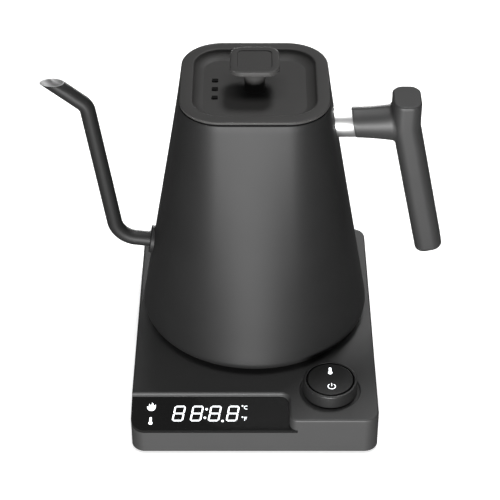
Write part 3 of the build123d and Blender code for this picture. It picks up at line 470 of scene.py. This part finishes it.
def dress_cad_nodes():
    """Give every CAD node the material of its slot, or its own look where it has one."""
    for entry in frame["record"]["subparts"]:
        data = frame["nodes"][entry["node"]].data
        data.materials.clear()
        data.materials.append(MATERIALS[OWN_LOOKS.get(entry["node"], entry["material_slot"])])


# ---- Kettle vessel ----

def vessel_ring(inset, height):
    """Return the wall's ring at a height: a circle at the foot that turns into a rounded square."""
    bend = FOOT_BEND - inset
    bend_centre = VESSEL_LOW.z + FOOT_BEND
    wall_radius = FOOT_RADIUS + bend * cos(WALL_LEAN)
    wall_start = bend_centre + bend * sin(WALL_LEAN)
    rise = (height - wall_start) / (RIM_HEIGHT - wall_start)
    half = RIM_HALF - inset
    corner = 2 * half / (2 + pi / 2)
    flat = half - corner
    ring = []
    for part in range(8):
        spin = Matrix.Rotation((part // 2) * pi / 2, 2)
        for k in range(PART_STEPS):
            step = k / PART_STEPS
            angle = radians(45 * part - 22.5 + 45 * step)
            round_point = wall_radius * Vector((cos(angle), sin(angle)))
            if part % 2 == 0:
                square_point = spin @ Vector((half, flat * (2 * step - 1)))
            else:
                turn = step * pi / 2
                square_point = spin @ Vector((flat + corner * cos(turn), flat + corner * sin(turn)))
            point = round_point.lerp(square_point, rise)
            ring.append((point.x, point.y, height))
    return ring


def circle_ring(radius, height):
    """Return a circle whose points line up with the vessel's rings."""
    count = 8 * PART_STEPS
    angles = [radians(-22.5 + 360 * k / count) for k in range(count)]
    return [(radius * cos(a), radius * sin(a), height) for a in angles]


def foot_rings(inset, count=10):
    """Return the rings of the rounded foot, from the flat bottom up to the start of the wall."""
    bend = FOOT_BEND - inset
    bend_centre = VESSEL_LOW.z + FOOT_BEND
    rings = []
    for k in range(count + 1):
        angle = -pi / 2 + (pi / 2 + WALL_LEAN) * k / count
        rings.append(circle_ring(FOOT_RADIUS + bend * cos(angle), bend_centre + bend * sin(angle)))
    return rings


def wall_rings(inset, top, count=36):
    """Return the rings of the wall above the foot, up to a height."""
    start = VESSEL_LOW.z + FOOT_BEND + (FOOT_BEND - inset) * sin(WALL_LEAN)
    return [vessel_ring(inset, start + (top - start) * k / count) for k in range(1, count + 1)]


def build_vessel():
    """The coated shell with its rolled rim, and the bare steel lining."""
    top = VESSEL_HIGH.z
    lip = [(0.04, 0.22), (0.14, 0.08), (0.30, 0.0), (0.70, 0.0), (0.92, 0.1), (WALL, 0.4)]
    rings = [circle_ring(COVER_RADIUS, VESSEL_LOW.z)]
    rings += foot_rings(0) + wall_rings(0, top - 0.4)
    rings += [vessel_ring(inset, top - drop) for inset, drop in lip]
    piece("vessel_shell", skin(rings), MATERIALS["coated_steel"], "kettle", ("kettle_body",))
    lining = [vessel_ring(WALL, top - 0.4)]
    lining += list(reversed(wall_rings(WALL, top - 1.0)))
    lining += list(reversed(foot_rings(WALL)))
    lining += [circle_ring(COVER_RADIUS, VESSEL_LOW.z + WALL), circle_ring(COVER_RADIUS, VESSEL_LOW.z)]
    piece("vessel_lining", skin(lining), MATERIALS["bare_steel"], "kettle", ("kettle_body",))


# ---- Lid ----

def build_lid():
    """The cover: a flat rim, a coved dish with a flat floor, and the plug that drops into the rim."""
    top = LID_HIGH.z
    plug = LID_LOW.z
    corner = 2 * RIM_HALF / (2 + pi / 2)
    cove = []
    for k in range(1, 13):
        angle = COVE_SWEEP * k / 12
        inward = COVE_WIDTH * (1 - cos(angle)) / (1 - cos(COVE_SWEEP))
        cove.append((COVE_EDGE - inward, top - DISH_DEPTH * sin(angle) / sin(COVE_SWEEP)))
    rim = soften([
        (-16.4, DISH_FLOOR - DISH_THICK, 0.5),
        (-6.2, LID_SHOULDER, 0.5),
        (PLUG_INSIDE, LID_SHOULDER, 0.4),
        (PLUG_INSIDE, plug, 0.3),
        (PLUG_OUTSIDE, plug, 0.3),
        (PLUG_OUTSIDE, top - LID_RIM_THICK, 0.2),
        (0, top - LID_RIM_THICK, 0.25),
        (0, top, 0.7),
        (DISH_EDGE, top, 0),
    ])
    edge = [(DISH_EDGE - 1.15 * sin(a), top - 0.63 * (1 - cos(a))) for a in (0.3, 0.6, 0.9, 1.2)]
    body = moulding(RIM_HALF, RIM_HALF, corner, rim + edge + cove, arc=20, start_cap=True, end_cap=True)
    through = [(0, DISH_FLOOR - DISH_THICK - 1), (0, DISH_FLOOR + 1)]
    half_x, half_y = VENT_SIZE[0] / 2, VENT_SIZE[1] / 2
    vents = []
    for row in (-1, 0, 1):
        spot = (VENT_CENTRE[0], VENT_CENTRE[1] + row * VENT_PITCH)
        vents.append(moulding(half_x, half_y, VENT_CORNER, through, spot, 4, 1, start_cap=True, end_cap=True))
    # The vents go through the floor, and their walls are lined near-black as painted shade.
    piece("lid_shell", body, MATERIALS["lid_plastic"], "lid", ("lid_cover",), join(*vents))


def build_knob():
    """A thin square plate with a sunk panel, on a stem that flares out at its foot and under the plate."""
    top = KNOB_HIGH.z
    under = top - KNOB_THICK
    foot = KNOB_LOW.z
    half = KNOB_HIGH.x
    outer = soften([
        (-7.0, under, 0),
        (0, under, 1.1),
        (0, top, 0.9),
        (-KNOB_BORDER, top, 0.3),
        (-KNOB_BORDER - 0.35, top - KNOB_SUNK, 0.25),
        (-KNOB_BORDER - 1.05, top - KNOB_SUNK, 0),
    ])
    plate = moulding(half, half, KNOB_CORNER, outer, start_cap=True, end_cap=True)
    stem = [(6.7, foot), (6.35, foot + 0.25)]
    for k in range(1, 25):
        t = k / 24
        stem.append((6.2 - 1.4 * t + 4.2 * t * t, foot + (under - foot) * t))
    neck = lathe([(0.0, foot)] + stem + [(0.0, under)], loop=False)
    piece("lid_handle", join(plate, neck), MATERIALS["lid_plastic"], "lid", ("lid_knob",))


# ---- Spout ----

def spout_line():
    """Return the spout's centre line as close points in its own plane."""
    rise = (SPOUT_ELBOW[1] - SPOUT_ROOT[1]) / (SPOUT_ELBOW[0] - SPOUT_ROOT[0])
    reach = 36.0
    start = (SPOUT_ROOT[0] + 0.6, SPOUT_ROOT[1] + 0.6 * rise)
    end = (SPOUT_NECK[0] - reach * cos(SPOUT_TIP_RISE), SPOUT_NECK[1] + reach * sin(SPOUT_TIP_RISE))
    return trace([(*start, 0), (*SPOUT_ELBOW, SPOUT_BENDS[0]), (*SPOUT_NECK, SPOUT_BENDS[1]), (*end, 0)])


def tube_rings(radius, segments=48, top=SPOUT_TOP):
    """Return rings of a tube along the spout's line, the last one cut level at the mouth."""
    line = spout_line()
    rings = []
    for i, (x, z) in enumerate(line):
        before = line[max(i - 1, 0)]
        after = line[min(i + 1, len(line) - 1)]
        along = Vector((after[0] - before[0], after[1] - before[1])).normalized()
        across = Vector((-along.y, along.x))
        ring = []
        for angle in full_turn(segments):
            out = radius * cos(angle)
            ring.append(Vector((x + across.x * out, radius * sin(angle), z + across.y * out)))
        if max(p.z for p in ring) > top:
            slope = Vector((along.x, 0, along.y))
            ring = [p + slope * ((top - p.z) / slope.z) for p in ring]
            rings.append(ring)
            break
        rings.append(ring)
    return rings


def build_spout():
    """The coated tube, its bright lining, and the collar round its root."""
    outer = tube_rings(SPOUT_RADIUS)
    inner = tube_rings(SPOUT_BORE)
    rim = [p.lerp(q, 0.18) for p, q in zip(outer[-1], inner[-1])]
    outer[-1] = [p - Vector((0, 0, 0.12)) for p in outer[-1]]
    outer.append(rim)
    piece("spout_shell", skin(outer), MATERIALS["coated_steel"], "kettle", ("spout_tube",))
    lip = [p.lerp(q, 0.25) for p, q in zip(inner[-1], rim)]
    inner[-1] = [p - Vector((0, 0, 0.15)) for p in inner[-1]]
    inner += [lip, rim]
    piece("spout_lining", skin(inner), MATERIALS["polished_steel"], "kettle", ("spout_tube",))
    bore = SPOUT_RADIUS + 0.05
    profile = soften([
        (bore, COLLAR_BACK, 0),
        (COLLAR_RADIUS, COLLAR_BACK, 0),
        (COLLAR_RADIUS, COLLAR_FRONT, 0.6),
        (bore, COLLAR_FRONT, 0.3),
    ])
    out = Vector((-cos(WALL_LEAN), 0, sin(WALL_LEAN)))
    stand = axes((SPOUT_ROOT[0], 0, SPOUT_ROOT[1]), Vector((0, 1, 0)), out.cross(Vector((0, 1, 0))), out)
    collar = place(lathe(profile, segments=96), stand)
    piece("spout_collar", collar, MATERIALS["coated_steel"], "kettle", ("spout_flange",))


# ---- Handle ----

def wall_x(height):
    """Return the wall's outer X on the handle side at a height."""
    start = VESSEL_LOW.z + FOOT_BEND + FOOT_BEND * sin(WALL_LEAN)
    foot = FOOT_RADIUS + FOOT_BEND * cos(WALL_LEAN)
    return foot + (RIM_HALF - foot) * (height - start) / (RIM_HEIGHT - start)


def grip_face_x(y, z):
    """Return the X at which a line along X first meets the grip."""
    below = max(0.0, GRIP_BEND[1] - z)
    beyond = max(0.0, abs(y) - (GRIP_HALF_WIDE - GRIP_CORNER))
    depth = GRIP_CORNER - sqrt(max(0.0, GRIP_CORNER ** 2 - beyond ** 2))
    return GRIP_BEND[0] + below * tan(GRIP_LEAN) - GRIP_HALF_THICK + depth


def arm_half(x):
    """Return the arm's half width and half height at an X."""
    t = max(0.0, (x - FERRULE_END) / (ARM_END - FERRULE_END))
    return FERRULE_RADIUS + 0.3 + t * (0.3 + 0.6 * t), FERRULE_RADIUS + 0.3 + t * (0.8 + 2.9 * t)


def leaning_ring(x, half_y, half_z):
    """Return a ring round the arm's axis that leans as the wall does."""
    ring = []
    for angle in full_turn(ARM_SEGMENTS):
        z = half_z * sin(angle)
        ring.append((x - z * tan(WALL_LEAN), half_y * cos(angle), ARM_HEIGHT + z))
    return ring


def build_ferrule():
    """The bright collar between the wall and the arm."""
    steel = [leaning_ring(x, radius, radius) for x, radius in (
        (wall_x(ARM_HEIGHT) - 0.5, FERRULE_RADIUS),
        (FERRULE_END - 0.35, FERRULE_RADIUS),
        (FERRULE_END - 0.1, FERRULE_RADIUS - 0.1),
        (FERRULE_END, FERRULE_RADIUS - 0.4),
        (FERRULE_END, 3.0),
    )]
    piece("ferrule", skin(steel, start_cap=True, end_cap=True), MATERIALS["polished_steel"], "kettle",
          ("handle_ferrule",))


def grip_mesh():
    """The grip: a rounded rectangle swept down a line that bends below its head."""
    line = trace([(*GRIP_TOP, 0), (*GRIP_BEND, GRIP_BEND_RADIUS), (*GRIP_BOTTOM, 0)], 0.5, 8)
    ends = [0.0]
    for a, b in zip(line, line[1:]):
        ends.append(ends[-1] + hypot(b[0] - a[0], b[1] - a[1]))
    length = ends[-1]
    head = [(0.0, -1.15), (0.0, -0.9), (0.1, -0.68), (0.7, -0.1), (1.0, 0.0)]
    foot = [(length - 2.6 * (1 - sin(a)), 2.6 * (cos(a) - 1)) for a in (0, 0.3, 0.6, 0.9, 1.2, pi / 2)]
    body = [(1.0 + (length - 3.6) * k / 60, 0.0) for k in range(1, 60)]
    rings = []
    for distance, offset in head + body + foot:
        step = max(k for k, end in enumerate(ends[:-1]) if end <= distance + 1e-9)
        start, onward = Vector(line[step]), Vector(line[step + 1])
        along = (onward - start).normalized()
        spot = start + along * (distance - ends[step])
        outline = rounded_rect(GRIP_HALF_THICK + offset, GRIP_HALF_WIDE + offset, GRIP_CORNER + offset, 16, 6)
        rings.append([(spot.x - p.x * along.y, p.y, spot.y + p.x * along.x) for p in outline])
    return skin(rings, start_cap=True, end_cap=True)


def root_fillet(begin, edge, meet):
    """Return the arm's last points in one direction, curving out onto the grip and a little into it."""
    corner_point = Vector((meet, edge.x, ARM_HEIGHT + edge.y))
    out = edge.normalized()
    reach = ARM_ROOT
    if abs(out.x) > 1e-6:
        reach = min(reach, (GRIP_HALF_WIDE - 0.25 - abs(edge.x)) / abs(out.x))
    far = edge + out * max(reach, 0.05)
    end = Vector((grip_face_x(far.x, ARM_HEIGHT + far.y), far.x, ARM_HEIGHT + far.y))
    points = []
    for s in range(1, ROOT_STEPS + 1):
        t = s / ROOT_STEPS
        points.append(begin * (1 - t) ** 2 + corner_point * 2 * t * (1 - t) + end * t ** 2)
    return points + [end + Vector((0.6, 0, 0))]


def arm_column(away):
    """Return the arm's points in one direction from its axis, from the ferrule to the grip."""
    half_y, half_z = arm_half(GRIP_BEND[0] - GRIP_HALF_THICK)
    edge = Vector((half_y * away.x, half_z * away.y))
    meet = grip_face_x(edge.x, ARM_HEIGHT + edge.y)
    start_x = ARM_START - arm_half(ARM_START)[1] * away.y * tan(WALL_LEAN)
    column = []
    for s in range(1, ARM_STATIONS + 1):
        x = start_x + (meet - ARM_ROOT - start_x) * s / ARM_STATIONS
        half_y, half_z = arm_half(x)
        column.append(Vector((x, half_y * away.x, ARM_HEIGHT + half_z * away.y)))
    return column + root_fillet(column[-1], edge, meet)


def arm_mesh():
    """The arm: round at the ferrule, flaring upright to a small fillet round its root on the grip."""
    rows = []
    for x, shrink in (
        (FERRULE_END + 0.05, 3.0),
        (FERRULE_END + 0.05, 0.35),
        (FERRULE_END + 0.15, 0.1),
        (ARM_START, 0.0),
    ):
        half_y, half_z = arm_half(x)
        rows.append(leaning_ring(x, half_y - shrink, half_z - shrink))
    columns = [arm_column(Vector((cos(angle), sin(angle)))) for angle in full_turn(ARM_SEGMENTS)]
    rows += [list(row) for row in zip(*columns)]
    return skin(rows, start_cap=True)


def build_handle():
    """One moulding of a flaring arm and a flat-sided grip."""
    piece("handle_moulding", join(grip_mesh(), arm_mesh()), MATERIALS["satin_plastic"], "kettle",
          ("handle_grip",))


# ---- Dial ----

def build_dial():
    """The dial's ring with its bevelled rim, and the push cap sunk inside it."""
    centre = (DIAL_CENTRE.x, DIAL_CENTRE.y)
    radius = DIAL_HIGH.x - DIAL_CENTRE.x
    top = DIAL_HIGH.z
    ring = soften([
        (DIAL_BORE, DIAL_LOW.z, 0.2),
        (DIAL_SLEEVE, DIAL_LOW.z, 0.2),
        (DIAL_SLEEVE, RING_UNDER, 0.2),
        (radius, RING_UNDER, 0.4),
        (radius, top, 1.1),
        (14.7, top, 0.35),
        (14.55, WEB_TOP, 0.3),
        (DIAL_BORE, WEB_TOP, 0.2),
    ], 7)
    piece("dial_collar", lathe(ring, centre, 160), MATERIALS["dial_plastic"], "dial",
          ("dial_ring",))
    cap_radius = CAP_HIGH.x - DIAL_CENTRE.x
    cap_top = CAP_HIGH.z
    cap = soften([
        (0, CAP_LOW.z, 0),
        (CAP_STALK, CAP_LOW.z, 0.2),
        (CAP_STALK, CAP_GUIDE_BOTTOM, 0.2),
        (CAP_GUIDE_RADIUS, CAP_GUIDE_BOTTOM, 0.2),
        (CAP_GUIDE_RADIUS, cap_top - CAP_THICK, 0.3),
        (cap_radius, cap_top - CAP_THICK, 0.3),
        (cap_radius, cap_top, 0.7),
        (0, cap_top, 0),
    ], 6)
    piece("dial_cap", lathe(cap, centre, 160, loop=False), MATERIALS["cap_plastic"], "button",
          ("dial_button",))


# ---- Symbols ----

def flat_shape(outline):
    """Return a closed bmesh as thin as print from one outline of (x, y) points."""
    return skin([[(x, y, z) for x, y in outline] for z in (-PRINT_THICK, 0.0)], start_cap=True, end_cap=True)


def stroke(start, end, wide, pointed=0.0):
    """Return the outline of a straight bar with pointed ends."""
    a, b = Vector(start), Vector(end)
    along = (b - a).normalized()
    side = Vector((-along.y, along.x)) * wide / 2
    inner = along * pointed
    return [a, a + inner - side, b - inner - side, b, b - inner + side, a + inner + side]


def figure_bars():
    """Return the seven bars of a lit figure about its centre."""
    reach_x, reach_y = FIGURE_WIDTH / 2, FIGURE_HEIGHT / 2
    point = BAR_WIDTH / 2
    bars = []
    for y in (reach_y, 0, -reach_y):
        bars.append(stroke((-reach_x + BAR_GAP, y), (reach_x - BAR_GAP, y), BAR_WIDTH, point))
    for x in (-reach_x, reach_x):
        bars.append(stroke((x, BAR_GAP), (x, reach_y - BAR_GAP), BAR_WIDTH, point))
        bars.append(stroke((x, -reach_y + BAR_GAP), (x, -BAR_GAP), BAR_WIDTH, point))
    return bars


def disc(x, y, radius, steps=20):
    """Return the outline of a disc."""
    return [(x + radius * cos(a), y + radius * sin(a)) for a in full_turn(steps)]


def arc_band(x, y, radius, wide, start, end, steps=28):
    """Return the outline of a bent band between two angles in degrees."""
    angles = [radians(start + (end - start) * k / steps) for k in range(steps + 1)]
    far, near = radius + wide / 2, radius - wide / 2
    outer = [(x + far * cos(a), y + far * sin(a)) for a in angles]
    inner = [(x + near * cos(a), y + near * sin(a)) for a in reversed(angles)]
    return outer + inner


def thermometer(x, y, size):
    """Return the outline of a thermometer: a round bulb under a round-ended stem."""
    bulb, stem = 0.22 * size, 0.13 * size
    low, high = y - size / 2 + bulb, y + size / 2 - stem
    points = []
    for k in range(9):
        a = pi * k / 8
        points.append((x + stem * cos(a), high + stem * sin(a)))
    for k in range(15):
        a = radians(126.2 + 287.6 * k / 14)
        points.append((x + bulb * cos(a), low + bulb * sin(a)))
    return points


def flame(x, y, size):
    """Return the outline of a flame with three tongues."""
    shape = [
        (-0.02, -0.50), (0.22, -0.46), (0.38, -0.26), (0.42, 0.0), (0.44, 0.24), (0.32, 0.18), (0.26, -0.02),
        (0.20, 0.10), (0.20, 0.32), (0.06, 0.50), (0.02, 0.26), (-0.04, 0.04), (-0.12, 0.16), (-0.22, 0.36),
        (-0.26, 0.10), (-0.28, -0.06), (-0.46, 0.04), (-0.40, -0.20), (-0.32, -0.38), (-0.18, -0.48),
    ]
    return [(x + size * px, y + size * py) for px, py in shape]


def symbols(name, outlines, stand, body):
    """Lay flat lit outlines on a surface."""
    mesh = join(*[flat_shape(outline) for outline in outlines])
    bmesh.ops.triangulate(mesh, faces=mesh.faces)
    piece(name, place(mesh, stand), GLOW, body)


def display_shapes():
    """Return the outlines of the lit figures and marks, seen square to the window."""
    shapes = []
    for column in range(4):
        centre = FIGURE_FIRST + FIGURE_PITCH * column
        for bar in figure_bars():
            shapes.append([(centre + p[0] + FIGURE_SLANT * p[1], FIGURE_MIDDLE + p[1]) for p in bar])
    for y in (3.1, -3.1):
        shapes.append(disc(-29.7 + FIGURE_SLANT * y, FIGURE_MIDDLE + y, DOT_RADIUS))
    shapes.append(disc(-19.4, FIGURE_MIDDLE - 5.4, DOT_RADIUS))
    shapes.append(flame(-62.8, 17.2, 6.0))
    shapes.append(thermometer(-63.0, 6.9, 5.4))
    celsius, fahrenheit = 16.6, 8.4
    for y in (celsius, fahrenheit):
        shapes.append(arc_band(-7.4, y + 1.2, 0.4, 0.22, 0, 359))
    shapes.append(arc_band(-5.2, celsius, 1.15, LETTER_LINE, 50, 310))
    shapes.append(stroke((-6.1, fahrenheit - 1.3), (-6.1, fahrenheit + 1.3), LETTER_LINE))
    shapes.append(stroke((-6.2, fahrenheit + 1.15), (-4.6, fahrenheit + 1.15), LETTER_LINE))
    shapes.append(stroke((-6.2, fahrenheit), (-4.8, fahrenheit), LETTER_LINE))
    return shapes


def build_symbols():
    """The lit figures and marks behind the window, and the two marks on the cap."""
    slope_up = Vector((0, cos(WINDOW_SLOPE), sin(WINDOW_SLOPE)))
    out = Vector((0, -sin(WINDOW_SLOPE), cos(WINDOW_SLOPE)))
    front = Vector((0, WINDOW_LOW.y, WINDOW_HIGH.z - WINDOW_DEPTH * tan(WINDOW_SLOPE)))
    stand = axes(front + out * PRINT_GAP, Vector((1, 0, 0)), slope_up, out)
    symbols("display_figures", display_shapes(), stand, "base")

    cap = Matrix.Translation((DIAL_CENTRE.x, DIAL_CENTRE.y, CAP_HIGH.z + PRINT_GAP))
    marks = [
        thermometer(0.1, 7.3, 6.0),
        arc_band(0.6, -6.6, 2.25, MARK_LINE, -235, 55),
        stroke((0.6, -6.3), (0.6, -3.7), MARK_LINE),
    ]
    symbols("cap_marks", marks, cap, "button")


# ---- Stage ----

def build_floor():
    """A pale matt floor with a faint glow, left out of mirror reflections."""
    mesh = bmesh.new()
    bmesh.ops.create_grid(mesh, x_segments=1, y_segments=1, size=6.0)
    floor = stand_up("floor", mesh)
    material, nodes, links, main = shader("floor_paint")
    tint(nodes, links, noise(nodes, links, 3, 2.0), grey(0.90), grey(0.93), main.inputs["Base Color"])
    main.inputs["Roughness"].default_value = 0.9
    main.inputs["Specular IOR Level"].default_value = 0.1
    main.inputs["Emission Color"].default_value = (1, 1, 1, 1)
    main.inputs["Emission Strength"].default_value = 0.62
    floor.data.materials.append(material)
    floor.visible_glossy = False


def build_backdrop():
    """A plain white world, faint as a light and bright where the camera sees it."""
    world = bpy.data.worlds.new("studio")
    world.use_nodes = True
    nodes, links = world.node_tree.nodes, world.node_tree.links
    backdrop = nodes.new("ShaderNodeMapRange")
    backdrop.inputs["To Min"].default_value = 0.11
    backdrop.inputs["To Max"].default_value = 0.80
    links.new(nodes.new("ShaderNodeLightPath").outputs["Is Camera Ray"], backdrop.inputs["Value"])
    nodes["Background"].inputs["Color"].default_value = (1, 1, 1, 1)
    links.new(backdrop.outputs["Result"], nodes["Background"].inputs["Strength"])
    bpy.context.scene.world = world


def lamp(name, size, energy, stand, aim):
    """A soft rectangular light of a size and a power in watts, aimed at a point."""
    light = bpy.data.lights.new(name, "AREA")
    light.shape = "RECTANGLE"
    light.size, light.size_y = size
    light.energy = energy
    lamp_object = bpy.data.objects.new(name, light)
    lamp_object.location = stand
    lamp_object.rotation_euler = (Vector(aim) - Vector(stand)).to_track_quat("-Z", "Y").to_euler()
    bpy.context.scene.collection.objects.link(lamp_object)


def build_lamps():
    """Light from above and behind, a low front light for the bright middle, and a weak rear one."""
    lamp("above", (1.2, 0.6), 11, (0.0, -0.15, 1.8), (0, -0.1, 0))
    lamp("behind", (0.4, 0.4), 17, (0.36, 0.78, 1.6), (0, 0, 0.1))
    lamp("front", (0.6, 0.2), 54, (-0.1, -1.4, 0.06), (0, 0, 0.05))
    lamp("rear", (0.8, 0.2), 14, (0.1, 1.5, 0.12), (0, 0, 0.1))


def build_camera():
    """A long lens that looks down on the kettle from the front."""
    camera = bpy.data.cameras.new("camera")
    camera.sensor_width = 36
    camera.lens = CAMERA_LENS
    camera.shift_x = CAMERA_SHIFT
    camera.clip_start = 0.01
    view = bpy.data.objects.new("camera", camera)
    view.location = CAMERA_PLACE
    view.rotation_euler = (radians(90 - CAMERA_DOWN), 0, 0)
    bpy.context.scene.collection.objects.link(view)
    bpy.context.scene.camera = view
    bpy.context.scene.view_settings.view_transform = "Standard"


dress_cad_nodes()
build_vessel()
build_lid()
build_knob()
build_spout()
build_ferrule()
build_handle()
build_dial()
build_symbols()
build_floor()
build_backdrop()
build_lamps()
build_camera()
